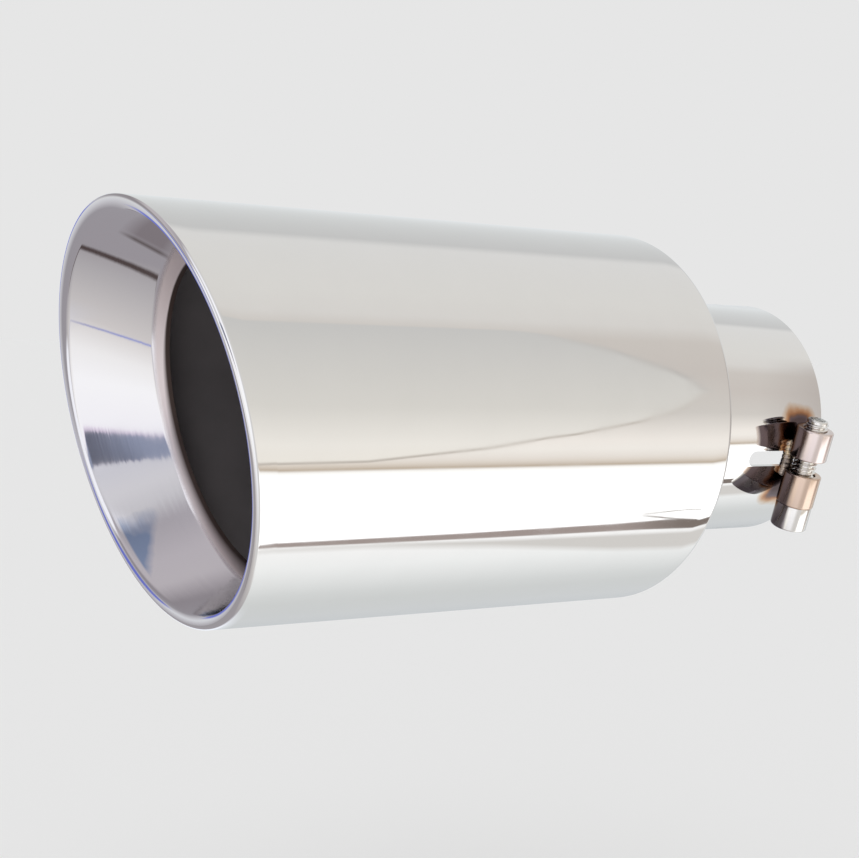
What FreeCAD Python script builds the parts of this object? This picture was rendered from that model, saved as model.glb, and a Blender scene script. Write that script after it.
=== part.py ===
import FreeCAD, Part
import math
import os

# Exhaust tip: a double-walled, slant-cut outlet on a slotted inlet neck that clamps onto a tailpipe.
#
# Millimetres. The origin is the centre of the neck's open end, where the tailpipe enters.
# +X runs along the tip's axis and out of the inlet, so the pipe leaves along +X and the mouth is at -X.
# +Z is up, and the long side of the slanted mouth is the top side.

# Outlet body
BODY_RADIUS = 50.8          # outside of the polished shell, a 4 inch outlet
BODY_LENGTH = 150.0         # rear face to the foremost point of the lip, along the long side
MOUTH_SLANT_DEG = 12.6      # the mouth's plane against a square cut
SHEET_THICKNESS = 1.2       # shell, cap and mouth ring are pressed from one sheet gauge

# Mouth ring: the lip that folds inwards, the polished band behind it and the flange round the hole
LIP_RADIUS = 1.2            # outside rounding of the lip, from the shell over to its front
LIP_EDGE_RADIUS = 2.2       # inside rounding, from the lip's front to the band
LIP_FOLD_DEPTH = 3.4        # how far behind its front the lip is solid, before the two sheets part
RING_SEAM_DEPTH = 5.5       # the ring's outer leg, from the lip's front to the seam with the shell
BAND_DEPTH = 24.4           # lip front to the flange, along the axis
BAND_NARROWING = 2.6        # how much closer to the axis the band ends than it starts
BAND_BEND_RADIUS = 1.6      # inside of the bend between band and flange
FLANGE_WIDTH = 5.5          # from the bend's corner to the edge of the hole

# Rear cap
CAP_BEND_RADIUS = 0.3       # inside of the bend between the cap's disc and its skirt
CAP_SKIRT_LENGTH = 6.0      # rear face to the seam with the shell
CAP_HOLE_CLEARANCE = 0.1    # round the neck where it passes through the cap

# Inlet neck
PIPE_RADIUS = 31.75         # the tailpipe that goes in, 2.5 inch across
PIPE_CLEARANCE = 0.15       # radial, before the clamp is tightened
NECK_WALL = 1.2
NECK_LENGTH = 51.7          # rear face of the cap to the open end
NECK_INSERTION = 12.0       # how far the neck goes on inside the body
NECK_WELD_LEG = 2.5         # fillet weld round the neck on the cap's face
NECK_WELD_THROAT = 1.4      # how far that weld's face stands off the corner, in each direction

# Slot in the neck
SLOT_WIDTH = 4.5
SLOT_LENGTH = 26.2          # open end to the round end of the slot
CLAMP_ANGLE_DEG = 17.4      # the slot's place, turned down from the -Y side

# Clamp bosses, either side of the slot
BOSS_RADIUS = 5.2
UPPER_BOSS_LENGTH = 8.6
LOWER_BOSS_LENGTH = 9.3
BOSS_SINK = 0.2             # how far the round boss is ground to sit into the neck's surface
BOSS_EDGE_BREAK = 0.4
BOSS_SETBACK = 9.3          # open end of the neck to the screw's centre line
BOSS_BEAD_RADIUS = 2.0      # weld bead each side of a boss
BOSS_BEAD_OFFSET = 2.6      # from the screw's centre line to a bead's centre line
BOSS_BEAD_INSET = 0.9       # how far a bead's ends stay inside its boss's length

# Clamp screw: a cap screw that passes through the lower boss and threads into the upper one
SCREW_RADIUS = 3.175
SCREW_HOLE_CLEARANCE = 0.3  # radial, in the lower boss
THREAD_CLEARANCE = 0.05     # radial, in the threaded upper boss
SCREW_END_LENGTH = 2.6      # how far the screw stands out of the upper boss
SCREW_END_CHAMFER = 0.7
HEAD_RADIUS = 5.0
HEAD_HEIGHT = 7.0
HEAD_EDGE_BREAK = 0.5
SOCKET_ACROSS_FLATS = 4.8
SOCKET_DEPTH = 3.2

# Worked out from the sizes above
SLANT_SLOPE = math.tan(math.radians(MOUTH_SLANT_DEG))
REAR_FACE_X = -NECK_LENGTH
LONG_EDGE_X = REAR_FACE_X - BODY_LENGTH
RIM_CENTRE_X = LONG_EDGE_X + SLANT_SLOPE * (BODY_RADIUS - LIP_RADIUS)
RING_SEAM_X = RIM_CENTRE_X + RING_SEAM_DEPTH
CAP_SEAM_X = REAR_FACE_X - CAP_SKIRT_LENGTH
NECK_INNER_RADIUS = PIPE_RADIUS + PIPE_CLEARANCE
NECK_OUTER_RADIUS = NECK_INNER_RADIUS + NECK_WALL
SCREW_OFFSET = NECK_OUTER_RADIUS + BOSS_RADIUS - BOSS_SINK
AXIS = FreeCAD.Vector(1, 0, 0)
CENTRE = FreeCAD.Vector(0, 0, 0)
JOIN_TOLERANCE = 1e-6


def point(along, out):
    """A point of a profile in the plane of the axis: along X, and out from it along Y."""
    return FreeCAD.Vector(along, out, 0)


def revolved(edges):
    """The solid that a closed profile sweeps in one full turn about the tip's axis."""
    face = Part.Face(Part.Wire(edges))
    return face.revolve(CENTRE, AXIS, 360)


def bend(before, corner, after, radius):
    """The start, middle and end of the arc that rounds a corner of a profile."""
    back = (before - corner).normalize()
    onward = (after - corner).normalize()
    half_angle = back.getAngle(onward) / 2
    reach = radius / math.tan(half_angle)
    inward = (back + onward).normalize()
    middle = corner + inward * (radius / math.sin(half_angle) - radius)
    return corner + back * reach, middle, corner + onward * reach


def arc_about(centre, radius, start_degrees, end_degrees):
    """The start, middle and end of an arc of a profile, by its centre and two directions."""
    points = []
    for degrees in (start_degrees, (start_degrees + end_degrees) / 2, end_degrees):
        angle = math.radians(degrees)
        points.append(centre + point(radius * math.cos(angle), radius * math.sin(angle)))
    return tuple(points)


def joined(steps):
    """Edges of a closed profile. A step is a point, or the three points of an arc."""
    edges = []
    place = steps[0]
    for step in steps[1:] + steps[:1]:
        stops = step if isinstance(step, tuple) else (step,)
        if not place.isEqual(stops[0], JOIN_TOLERANCE):
            edges.append(Part.LineSegment(place, stops[0]).toShape())
        if len(stops) > 1:
            edges.append(Part.Arc(*stops).toShape())
        place = stops[-1]
    return edges


def tube(start_x, end_x, inner_radius, outer_radius):
    """A plain tube about the tip's axis."""
    start = FreeCAD.Vector(start_x, 0, 0)
    outside = Part.makeCylinder(outer_radius, end_x - start_x, start, AXIS)
    inside = Part.makeCylinder(inner_radius, end_x - start_x, start, AXIS)
    return outside.cut(inside)


def outer_shell():
    """The rolled shell between the ring's slanted seam and the cap's square one."""
    reach = 2 * BODY_RADIUS
    shell = tube(LONG_EDGE_X, CAP_SEAM_X, BODY_RADIUS - SHEET_THICKNESS, BODY_RADIUS)
    corner = FreeCAD.Vector(-BODY_LENGTH, -reach, -reach)
    beyond_seam = Part.makeBox(BODY_LENGTH, 2 * reach, 2 * reach, corner)
    beyond_seam.rotate(CENTRE, FreeCAD.Vector(0, 1, 0), -MOUTH_SLANT_DEG)
    beyond_seam.translate(FreeCAD.Vector(RING_SEAM_X, 0, 0))
    return shell.cut(beyond_seam)


def mouth_ring():
    """Lip, polished band and flange, pressed as one ring and leaned over to the mouth's slant."""
    lip_out = BODY_RADIUS - LIP_RADIUS
    shell_inner = BODY_RADIUS - SHEET_THICKNESS
    band_slope = BAND_NARROWING / BAND_DEPTH
    band_angle = math.degrees(math.atan(band_slope))
    lip = arc_about(point(LIP_RADIUS, lip_out), LIP_RADIUS, 90, 180)
    lip_edge = arc_about(point(LIP_EDGE_RADIUS, lip_out), LIP_EDGE_RADIUS, 180, 270 - band_angle)
    band_start = lip_edge[2]

    def band_front(along):
        return band_start.y - band_slope * (along - band_start.x)

    def band_back(along):
        return band_front(along) + SHEET_THICKNESS * math.hypot(1, band_slope)

    hole_radius = band_front(BAND_DEPTH) - FLANGE_WIDTH
    flange_back = BAND_DEPTH + SHEET_THICKNESS
    crease = point(BAND_DEPTH, band_front(BAND_DEPTH))
    back_crease = point(flange_back, band_back(flange_back))
    flange_edge = point(BAND_DEPTH, hole_radius)
    back_edge = point(flange_back, hole_radius)
    fold_root = point(LIP_FOLD_DEPTH, band_back(LIP_FOLD_DEPTH))
    steps = [
        point(RING_SEAM_DEPTH, BODY_RADIUS),
        lip,
        lip_edge,
        bend(band_start, crease, flange_edge, BAND_BEND_RADIUS),
        flange_edge,
        back_edge,
        bend(back_edge, back_crease, fold_root, BAND_BEND_RADIUS + SHEET_THICKNESS),
        fold_root,
        point(LIP_FOLD_DEPTH, shell_inner),
        point(RING_SEAM_DEPTH, shell_inner),
    ]
    upright = revolved(joined(steps))
    lean = FreeCAD.Matrix()
    lean.A13 = -SLANT_SLOPE
    lean.A14 = RIM_CENTRE_X
    return upright.transformGeometry(lean)


def rear_cap():
    """The pressed disc that closes the shell round the neck."""
    skirt_inner = BODY_RADIUS - SHEET_THICKNESS
    disc_front = REAR_FACE_X - SHEET_THICKNESS
    hole_radius = NECK_OUTER_RADIUS + CAP_HOLE_CLEARANCE
    skirt_edge = point(CAP_SEAM_X, BODY_RADIUS)
    skirt_edge_inside = point(CAP_SEAM_X, skirt_inner)
    hole_edge = point(REAR_FACE_X, hole_radius)
    hole_edge_inside = point(disc_front, hole_radius)
    outer_corner = point(REAR_FACE_X, BODY_RADIUS)
    inner_corner = point(disc_front, skirt_inner)
    steps = [
        skirt_edge,
        bend(skirt_edge, outer_corner, hole_edge, CAP_BEND_RADIUS + SHEET_THICKNESS),
        hole_edge,
        hole_edge_inside,
        bend(hole_edge_inside, inner_corner, skirt_edge_inside, CAP_BEND_RADIUS),
        skirt_edge_inside,
    ]
    return revolved(joined(steps))


def clamp_placed(shape):
    """Turns a clamp piece from its own upright place, with the slot at +Y, to its place round the neck.

    In the piece's own place +Z runs down the screw towards its head.
    """
    placed = shape.copy()
    placed.rotate(CENTRE, AXIS, 180 + CLAMP_ANGLE_DEG)
    return placed


def inlet_neck():
    """The tube that the tailpipe goes into, with its round-ended slot."""
    neck = tube(REAR_FACE_X - NECK_INSERTION, 0, NECK_INNER_RADIUS, NECK_OUTER_RADIUS)
    half_width = SLOT_WIDTH / 2
    straight = SLOT_LENGTH - half_width
    outward = FreeCAD.Vector(0, 1, 0)
    depth = NECK_OUTER_RADIUS + NECK_WALL
    round_end = Part.makeCylinder(half_width, depth, FreeCAD.Vector(-straight, 0, 0), outward)
    cut_corner = FreeCAD.Vector(-straight, 0, -half_width)
    slot = Part.makeBox(straight + NECK_WALL, depth, SLOT_WIDTH, cut_corner).fuse(round_end)
    return neck.cut(clamp_placed(slot))


def neck_weld():
    """The fillet weld that holds the neck in the cap."""
    corner = point(REAR_FACE_X, NECK_OUTER_RADIUS)
    toe_on_neck = point(REAR_FACE_X + NECK_WELD_LEG, NECK_OUTER_RADIUS)
    toe_on_cap = point(REAR_FACE_X, NECK_OUTER_RADIUS + NECK_WELD_LEG)
    crown = point(REAR_FACE_X + NECK_WELD_THROAT, NECK_OUTER_RADIUS + NECK_WELD_THROAT)
    return revolved(joined([corner, (toe_on_neck, crown, toe_on_cap)]))


def turned_pin(start, end, radius, start_break, end_break):
    """A round bar on the screw's centre line with its end edges broken at 45 degrees."""
    profile = [
        FreeCAD.Vector(0, 0, start),
        FreeCAD.Vector(radius - start_break, 0, start),
        FreeCAD.Vector(radius, 0, start + start_break),
        FreeCAD.Vector(radius, 0, end - end_break),
        FreeCAD.Vector(radius - end_break, 0, end),
        FreeCAD.Vector(0, 0, end),
    ]
    face = Part.Face(Part.makePolygon(profile + profile[:1]))
    bar = face.revolve(CENTRE, FreeCAD.Vector(0, 0, 1), 360)
    bar.translate(FreeCAD.Vector(-BOSS_SETBACK, SCREW_OFFSET, 0))
    return bar


def boss_bead(side, boss_length):
    """One weld bead along a boss, following the neck round."""
    near_reach = SLOT_WIDTH / 2 + BOSS_BEAD_INSET
    far_reach = SLOT_WIDTH / 2 + boss_length - BOSS_BEAD_INSET
    near = math.degrees(math.asin(near_reach / NECK_OUTER_RADIUS))
    far = math.degrees(math.asin(far_reach / NECK_OUTER_RADIUS))
    middle = FreeCAD.Vector(-BOSS_SETBACK + side * BOSS_BEAD_OFFSET, NECK_OUTER_RADIUS, 0)
    section = Part.Face(Part.Wire(Part.makeCircle(BOSS_BEAD_RADIUS, middle, FreeCAD.Vector(0, 0, 1))))
    section.rotate(CENTRE, AXIS, near)
    return section.revolve(CENTRE, AXIS, far - near)


def clamp_boss(boss_length, hole_clearance, is_upper):
    """A round boss with its bore and its two weld beads, seated on the neck's outside."""
    near_end = SLOT_WIDTH / 2
    far_end = near_end + boss_length
    body = turned_pin(near_end, far_end, BOSS_RADIUS, BOSS_EDGE_BREAK, BOSS_EDGE_BREAK)
    body = body.fuse([boss_bead(-1, boss_length), boss_bead(1, boss_length)])
    bore_start = FreeCAD.Vector(-BOSS_SETBACK, SCREW_OFFSET, 0)
    along = FreeCAD.Vector(0, 0, 1)
    bore = Part.makeCylinder(SCREW_RADIUS + hole_clearance, 2 * far_end, bore_start, along)
    neck_start = FreeCAD.Vector(REAR_FACE_X, 0, 0)
    neck_room = Part.makeCylinder(NECK_OUTER_RADIUS, 2 * NECK_LENGTH, neck_start, AXIS)
    boss = body.cut(bore).cut(neck_room).removeSplitter()
    if is_upper:
        boss = boss.mirror(CENTRE, FreeCAD.Vector(0, 0, 1))
    return clamp_placed(boss)


def clamp_screw():
    """The cap screw that draws the two bosses together: head below, end standing out above."""
    seat = SLOT_WIDTH / 2 + LOWER_BOSS_LENGTH
    free_end = -SLOT_WIDTH / 2 - UPPER_BOSS_LENGTH - SCREW_END_LENGTH
    shank = turned_pin(free_end, seat + HEAD_EDGE_BREAK, SCREW_RADIUS, SCREW_END_CHAMFER, 0)
    head = turned_pin(seat, seat + HEAD_HEIGHT, HEAD_RADIUS, 0, HEAD_EDGE_BREAK)
    corner_radius = SOCKET_ACROSS_FLATS / 2 / math.cos(math.pi / 6)
    corners = []
    for turn in range(7):
        angle = math.radians(60 * turn)
        across = corner_radius * math.cos(angle) - BOSS_SETBACK
        out = corner_radius * math.sin(angle) + SCREW_OFFSET
        corners.append(FreeCAD.Vector(across, out, seat + HEAD_HEIGHT - SOCKET_DEPTH))
    socket = Part.Face(Part.makePolygon(corners)).extrude(FreeCAD.Vector(0, 0, SOCKET_DEPTH))
    return clamp_placed(shank.fuse(head).cut(socket).removeSplitter())


NODES = {
    "outer_shell": outer_shell(),
    "mouth_ring": mouth_ring(),
    "rear_cap": rear_cap(),
    "inlet_neck": inlet_neck(),
    "neck_weld": neck_weld(),
    "upper_clamp_boss": clamp_boss(UPPER_BOSS_LENGTH, THREAD_CLEARANCE, True),
    "lower_clamp_boss": clamp_boss(LOWER_BOSS_LENGTH, SCREW_HOLE_CLEARANCE, False),
    "clamp_screw": clamp_screw(),
}

os.makedirs("parts", exist_ok=True)
for name, shape in NODES.items():
    shape.exportStep("parts/" + name + ".step")
    print(name, len(shape.Solids), shape.isValid(), round(shape.Volume, 1))
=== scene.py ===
import math

import bmesh
import bpy
from bpy.props import FloatProperty, FloatVectorProperty, PointerProperty
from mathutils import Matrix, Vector


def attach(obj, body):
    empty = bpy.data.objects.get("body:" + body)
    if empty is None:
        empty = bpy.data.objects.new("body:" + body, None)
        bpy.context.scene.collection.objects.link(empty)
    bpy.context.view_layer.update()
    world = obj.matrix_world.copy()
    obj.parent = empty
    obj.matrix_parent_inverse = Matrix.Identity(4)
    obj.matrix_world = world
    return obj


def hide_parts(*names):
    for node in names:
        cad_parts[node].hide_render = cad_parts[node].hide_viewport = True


bl_info = {
    "name": "Exhaust tip",
    "version": (1, 0, 0),
    "blender": (4, 5, 0),
    "location": "View3D > Sidebar > Exhaust tip",
    "description": "Models a double-walled, slant-cut exhaust tip with its clamp, in a plain pale studio",
    "category": "Object",
}

# The frame: metres, origin in the centre of the neck's open end, +X out of the inlet, +Z up.
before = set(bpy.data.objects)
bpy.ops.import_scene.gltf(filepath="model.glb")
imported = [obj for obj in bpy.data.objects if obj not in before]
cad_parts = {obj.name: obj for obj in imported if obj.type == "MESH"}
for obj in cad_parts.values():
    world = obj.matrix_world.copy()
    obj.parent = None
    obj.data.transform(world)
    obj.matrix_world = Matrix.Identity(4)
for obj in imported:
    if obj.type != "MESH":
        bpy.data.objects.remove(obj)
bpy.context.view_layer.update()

MM = 0.001
MERGE = 1e-6                # points closer than this are one point
ROUND_STEPS = 384           # steps of a full turn, so that a mirror finish shows no facets
ARC_STEPS = 10              # steps of a profile's round
SMOOTH_BELOW = math.radians(30)
LINE_SPACING = 0.35 * MM    # polishing lines: drawn coarser than the real ones, so that they show
LINE_LENGTH = 25 * MM
LINE_WOBBLE = (0.06, 0.035, 0.035)  # how far the polishing lines tilt the surface
STEPS_LEAN = (-0.72, -1.09)  # how far the band's fine steps lean outwards, at the lip and at the flange
FLANGE_ROUGHNESS = 0.42
TOOL_FEED = 0.25 * MM       # from one ring of the lathe's tool to the next
CAP_AND_NECK = (-0.71, -0.71, 0)  # from the screw to the rear cap and the neck, in the clamp's upright place
BAR_SIDES = 96
BARREL_SIDES = 128
SLOT_SIDES = 64
NECK_DROPS = 150            # drops of weld metal round the neck
BEAD_DROPS = 6              # steps between the drops of a boss's bead


def linear(hex_colour):
    """A colour written as sRGB hex, as the linear RGBA that a shader takes."""
    parts = [int(hex_colour[i : i + 2], 16) / 255 for i in (1, 3, 5)]
    return tuple(p / 12.92 if p <= 0.04045 else ((p + 0.055) / 1.055) ** 2.4 for p in parts) + (1.0,)


def size(name, default_mm, description):
    """A length of the tip, kept in metres."""
    default = default_mm * MM
    return FloatProperty(name=name, default=default, description=description, unit="LENGTH", precision=5)


def angle(name, default_degrees, description):
    """An angle of the tip."""
    default = math.radians(default_degrees)
    return FloatProperty(name=name, default=default, description=description, subtype="ANGLE")


def colour(name, hex_colour, description):
    """A colour of a finish."""
    return FloatVectorProperty(
        name=name, default=linear(hex_colour), description=description, subtype="COLOR", size=4, min=0, max=1
    )


class TipSizes(bpy.types.PropertyGroup):
    """The sizes of the exhaust tip."""

    body_radius: size("Body radius", 50.8, "Outside of the polished shell")
    rear_face: size("Rear face", -51.7, "Place of the rear cap's face along the axis")
    long_edge: size("Long edge", -201.7, "Foremost point of the lip along the axis")
    sheet: size("Sheet", 1.2, "Thickness of shell, cap, ring and neck")
    slant: angle("Mouth slant", 12.6, "The mouth's plane against a square cut")
    lip_radius: size("Lip radius", 1.2, "Outside rounding of the lip")
    lip_edge_radius: size("Lip edge", 2.2, "Inside rounding of the lip, towards the band")
    lip_fold_depth: size("Lip fold", 3.4, "How far behind its front the lip is solid")
    ring_seam: size("Ring seam", 5.5, "From the lip's front to the seam with the shell")
    band_depth: size("Band depth", 24.4, "From the lip's front to the flange")
    band_narrowing: size("Band narrowing", 2.6, "How much closer to the axis the band ends than it starts")
    band_bend: size("Band bend", 1.6, "Inside of the bend between band and flange")
    flange_width: size("Flange width", 5.5, "From the bend's corner to the edge of the hole")
    cap_bend: size("Cap bend", 0.3, "Inside of the bend between the cap's disc and its skirt")
    cap_skirt: size("Cap skirt", 6.0, "From the rear face to the seam with the shell")
    neck_inner: size("Neck bore", 31.9, "Inside radius of the neck")
    neck_insertion: size("Neck insertion", 12.0, "How far the neck goes on inside the body")
    slot_width: size("Slot width", 4.5, "Width of the slot in the neck")
    slot_length: size("Slot length", 26.2, "From the neck's open end to the round end of the slot")
    clamp_turn: angle("Clamp turn", 197.4, "Place of the slot round the axis")
    boss_radius: size("Boss radius", 5.2, "Radius of the two clamp bosses")
    upper_boss: size("Upper boss", 8.6, "Length of the threaded boss")
    lower_boss: size("Lower boss", 9.3, "Length of the boss under the screw's head")
    boss_sink: size("Boss sink", 0.2, "How far a boss sits into the neck's surface")
    boss_setback: size("Boss setback", 9.3, "From the neck's open end to the screw's centre line")
    bead_radius: size("Bead radius", 2.0, "Radius of a weld bead beside a boss")
    bead_offset: size("Bead offset", 2.6, "From the screw's centre line to a bead's centre line")
    screw_radius: size("Screw radius", 3.175, "Outside of the thread")
    thread_pitch: size("Thread pitch", 1.27, "From one crest of the thread to the next")
    thread_depth: size("Thread depth", 0.75, "From crest to root of the thread")
    screw_end: size("Screw end", 2.6, "How far the screw stands out of the upper boss")
    head_radius: size("Head radius", 5.0, "Radius of the screw's head")
    head_height: size("Head height", 7.0, "Height of the screw's head")
    socket: size("Socket", 4.8, "Across the flats of the head's socket")
    socket_depth: size("Socket depth", 3.2, "Depth of the head's socket")


class TipFinish(bpy.types.PropertyGroup):
    """The colours of the exhaust tip's finishes."""

    steel: colour("Polished steel", "#e3e1de", "Mirror-polished stainless steel")
    band: colour("Polished band", "#dedcdc", "The mouth's band, polished with a flap wheel")
    inner_steel: colour("Mill-finish steel", "#7a7574", "Unpolished steel inside the body")
    boss: colour("Boss steel", "#dccdc6", "Turned bosses, tinted by welding")
    screw: colour("Screw plating", "#e6e2dc", "Bright plating of the clamp screw")
    weld: colour("Weld metal", "#a89a8e", "Weld metal with its heat tint")


class StudioLook(bpy.types.PropertyGroup):
    """The plain studio round the exhaust tip."""

    backdrop: colour("Backdrop", "#e6e6e6", "Plain pale backdrop")
    floor_colour: colour("Floor", "#d8d8d8", "Plain pale floor")
    floor_lift: colour("Floor lift", "#73746d", "Brings the floor to the backdrop's colour, for the camera")
    floor_height: size("Floor height", -200, "The tip is held by its pipe, above this floor")
    lens: FloatProperty(name="Lens", default=67.52, description="In millimetres, on a 36 mm wide sensor")


# Shapes


def clear_selection():
    """Leaves edit mode with nothing selected, so that an operator acts on its own piece alone."""
    if bpy.context.object and bpy.context.object.mode != "OBJECT":
        bpy.ops.object.mode_set(mode="OBJECT")
    bpy.ops.object.select_all(action="DESELECT")


def pick(piece):
    """Makes a piece the only one selected, in object mode."""
    clear_selection()
    bpy.context.view_layer.objects.active = piece
    piece.select_set(True)


def started(name):
    """Names the primitive that was just added, puts its place into its mesh and opens it in edit mode."""
    piece = bpy.context.object
    piece.name = name
    piece.data.name = name
    bpy.ops.object.transform_apply(location=True, rotation=True, scale=True)
    bpy.ops.object.mode_set(mode="EDIT")
    bpy.ops.mesh.select_mode(type="VERT")
    return piece


def select_where(piece, kind, test):
    """In edit mode, selects the piece's vertices, edges or faces whose middle passes the test."""
    bpy.ops.mesh.select_mode(type=kind)
    bpy.ops.mesh.select_all(action="DESELECT")
    shape = bmesh.from_edit_mesh(piece.data)
    for item in {"VERT": shape.verts, "EDGE": shape.edges, "FACE": shape.faces}[kind]:
        corners = [item.co] if kind == "VERT" else [v.co for v in item.verts]
        item.select_set(test(sum(corners, Vector()) / len(corners)))
    shape.select_flush_mode()
    bmesh.update_edit_mesh(piece.data)


def select_borders(piece):
    """In edit mode, selects the edges of open borders."""
    bpy.ops.mesh.select_mode(type="EDGE")
    bpy.ops.mesh.select_all(action="DESELECT")
    shape = bmesh.from_edit_mesh(piece.data)
    for edge in shape.edges:
        edge.select_set(edge.is_boundary)
    bmesh.update_edit_mesh(piece.data)


def make_whole():
    """Merges doubles and turns all faces outwards, in edit mode."""
    bpy.ops.mesh.select_all(action="SELECT")
    bpy.ops.mesh.remove_doubles(threshold=MERGE)
    bpy.ops.mesh.normals_make_consistent(inside=False)


def arc(centre, radius, start_degrees, end_degrees, steps=ARC_STEPS):
    """Stops of a profile along an arc. A stop is (along X, out from the axis)."""
    stops = []
    for step in range(steps + 1):
        angle = math.radians(start_degrees + (end_degrees - start_degrees) * step / steps)
        stops.append((centre[0] + radius * math.cos(angle), centre[1] + radius * math.sin(angle)))
    return stops


def rounded(before, corner, after, radius, steps=ARC_STEPS):
    """Stops of a profile round a corner, bent to a radius."""
    corner, before, after = (Vector(p).to_3d() for p in (corner, before, after))
    back = (before - corner).normalized()
    onward = (after - corner).normalized()
    half = back.angle(onward) / 2
    centre = corner + (back + onward).normalized() * radius / math.sin(half)
    start = corner + back * radius / math.tan(half) - centre
    turn = math.degrees(back.cross(onward).z)
    sweep = math.copysign(180 - math.degrees(2 * half), -turn)
    first = math.degrees(math.atan2(start.y, start.x))
    return arc((centre.x, centre.y), radius, first, first + sweep, steps)


def drawn_outline(name, points):
    """A closed outline, extruded point by point. The piece stays in edit mode."""
    clear_selection()
    place = Vector(points[0])
    bpy.ops.mesh.primitive_plane_add(size=MM, location=place)
    piece = started(name)
    bpy.ops.mesh.select_all(action="SELECT")
    bpy.ops.mesh.merge(type="CENTER")
    for point in points[1:] + points[:1]:
        target = Vector(point)
        bpy.ops.mesh.extrude_region_move(TRANSFORM_OT_translate={"value": target - place})
        place = target
    bpy.ops.mesh.select_all(action="SELECT")
    bpy.ops.mesh.remove_doubles(threshold=MERGE)
    return piece


def turned_about_axis(name, stops):
    """A closed profile, spun one full turn about the tip's axis."""
    piece = drawn_outline(name, [(along, 0, out) for along, out in stops])
    bpy.ops.mesh.select_all(action="SELECT")
    bpy.ops.mesh.spin(steps=ROUND_STEPS, angle=math.tau, center=(0, 0, 0), axis=(1, 0, 0))
    make_whole()
    bpy.ops.object.mode_set(mode="OBJECT")
    return piece


def apply_modifier(piece, kind, **settings):
    """Adds a modifier to the piece and applies it."""
    pick(piece)
    modifier = piece.modifiers.new(kind.lower(), kind)
    for key, value in settings.items():
        setattr(modifier, key, value)
    bpy.ops.object.modifier_apply(modifier=modifier.name)


def carve(piece, cutter):
    """Cuts the cutter's shape out of the piece."""
    apply_modifier(piece, "BOOLEAN", operation="DIFFERENCE", solver="EXACT", object=cutter)
    bpy.data.objects.remove(cutter)


def place_round_neck(piece, sizes):
    """Turns a clamp piece from its own upright place, with the slot at +Y, to its place round the neck."""
    pick(piece)
    piece.rotation_euler.x = sizes.clamp_turn
    bpy.ops.object.transform_apply(location=True, rotation=True, scale=True)


def finish_piece(piece, nodes, materials, pick_material=None):
    """Shades the piece, gives it its materials, and ties it to the frame."""
    pick(piece)
    bpy.ops.object.shade_smooth_by_angle(angle=SMOOTH_BELOW)
    piece.data.materials.clear()
    for material in materials:
        piece.data.materials.append(material)
    if pick_material:
        for face in piece.data.polygons:
            face.material_index = pick_material(face.center)
    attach(piece, "root")
    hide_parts(*nodes)


def out_from_axis(place):
    """Distance of a place from the tip's axis."""
    return math.hypot(place.y, place.z)


def shell_stops(sizes):
    """The rolled shell as a square-cut tube that reaches past its slanted seam."""
    outside = sizes.body_radius
    inside = outside - sizes.sheet
    rear = sizes.rear_face - sizes.cap_skirt
    return [(sizes.long_edge, outside), (rear, outside), (rear, inside), (sizes.long_edge, inside)]


def slant_slope(sizes):
    """How far the mouth's plane goes along the axis for each step up."""
    return math.tan(sizes.slant)


def rim_centre(sizes):
    """Where the plane of the lip's front crosses the axis."""
    return sizes.long_edge + slant_slope(sizes) * (sizes.body_radius - sizes.lip_radius)


def ring_stops(sizes):
    """Lip, band and flange as one section, square to the axis, from the lip's front inwards."""
    lip_out = sizes.body_radius - sizes.lip_radius
    inside = sizes.body_radius - sizes.sheet
    slope = sizes.band_narrowing / sizes.band_depth
    band_degrees = math.degrees(math.atan(slope))
    lip = arc((sizes.lip_radius, lip_out), sizes.lip_radius, 90, 180)
    edge = arc((sizes.lip_edge_radius, lip_out), sizes.lip_edge_radius, 180, 270 - band_degrees, 6)
    start = edge[-1]

    def front(along):
        return start[1] - slope * (along - start[0])

    def back(along):
        return front(along) + sizes.sheet * math.hypot(1, slope)

    flange_back = sizes.band_depth + sizes.sheet
    crease = (sizes.band_depth, front(sizes.band_depth))
    back_crease = (flange_back, back(flange_back))
    hole = crease[1] - sizes.flange_width
    fold = (sizes.lip_fold_depth, back(sizes.lip_fold_depth))
    burr = 0.2 * sizes.sheet
    hole_edge = rounded(crease, (sizes.band_depth, hole), (flange_back, hole), burr, 3)
    hole_back = rounded((sizes.band_depth, hole), (flange_back, hole), back_crease, burr, 3)
    return (
        [(sizes.ring_seam, sizes.body_radius)]
        + lip
        + edge[1:]
        + rounded(start, crease, (sizes.band_depth, hole), sizes.band_bend)
        + hole_edge
        + hole_back
        + rounded((flange_back, hole), back_crease, fold, sizes.band_bend + sizes.sheet)
        + [fold, (sizes.lip_fold_depth, inside), (sizes.ring_seam, inside)]
    )


def cap_stops(sizes):
    """The pressed disc that closes the shell round the neck, with its short skirt."""
    outside = sizes.body_radius
    inside = outside - sizes.sheet
    rear = sizes.rear_face
    front = rear - sizes.sheet
    seam = rear - sizes.cap_skirt
    hole = sizes.neck_inner + sizes.sheet
    return (
        [(seam, outside)]
        + rounded((seam, outside), (rear, outside), (rear, hole), sizes.cap_bend + sizes.sheet)
        + [(rear, hole), (front, hole)]
        + rounded((front, hole), (front, inside), (seam, inside), sizes.cap_bend, 4)
        + [(seam, inside)]
    )


def neck_stops(sizes):
    """The inlet tube, its open end broken a little where the saw's burr was taken off."""
    inner = sizes.neck_inner
    outer = inner + sizes.sheet
    start = sizes.rear_face - sizes.neck_insertion
    broken = 0.2 * sizes.sheet
    return (
        [(start, inner), (start, outer)]
        + rounded((start, outer), (0, outer), (0, inner), broken, 4)
        + rounded((0, outer), (0, inner), (start, inner), broken, 4)
    )


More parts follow.
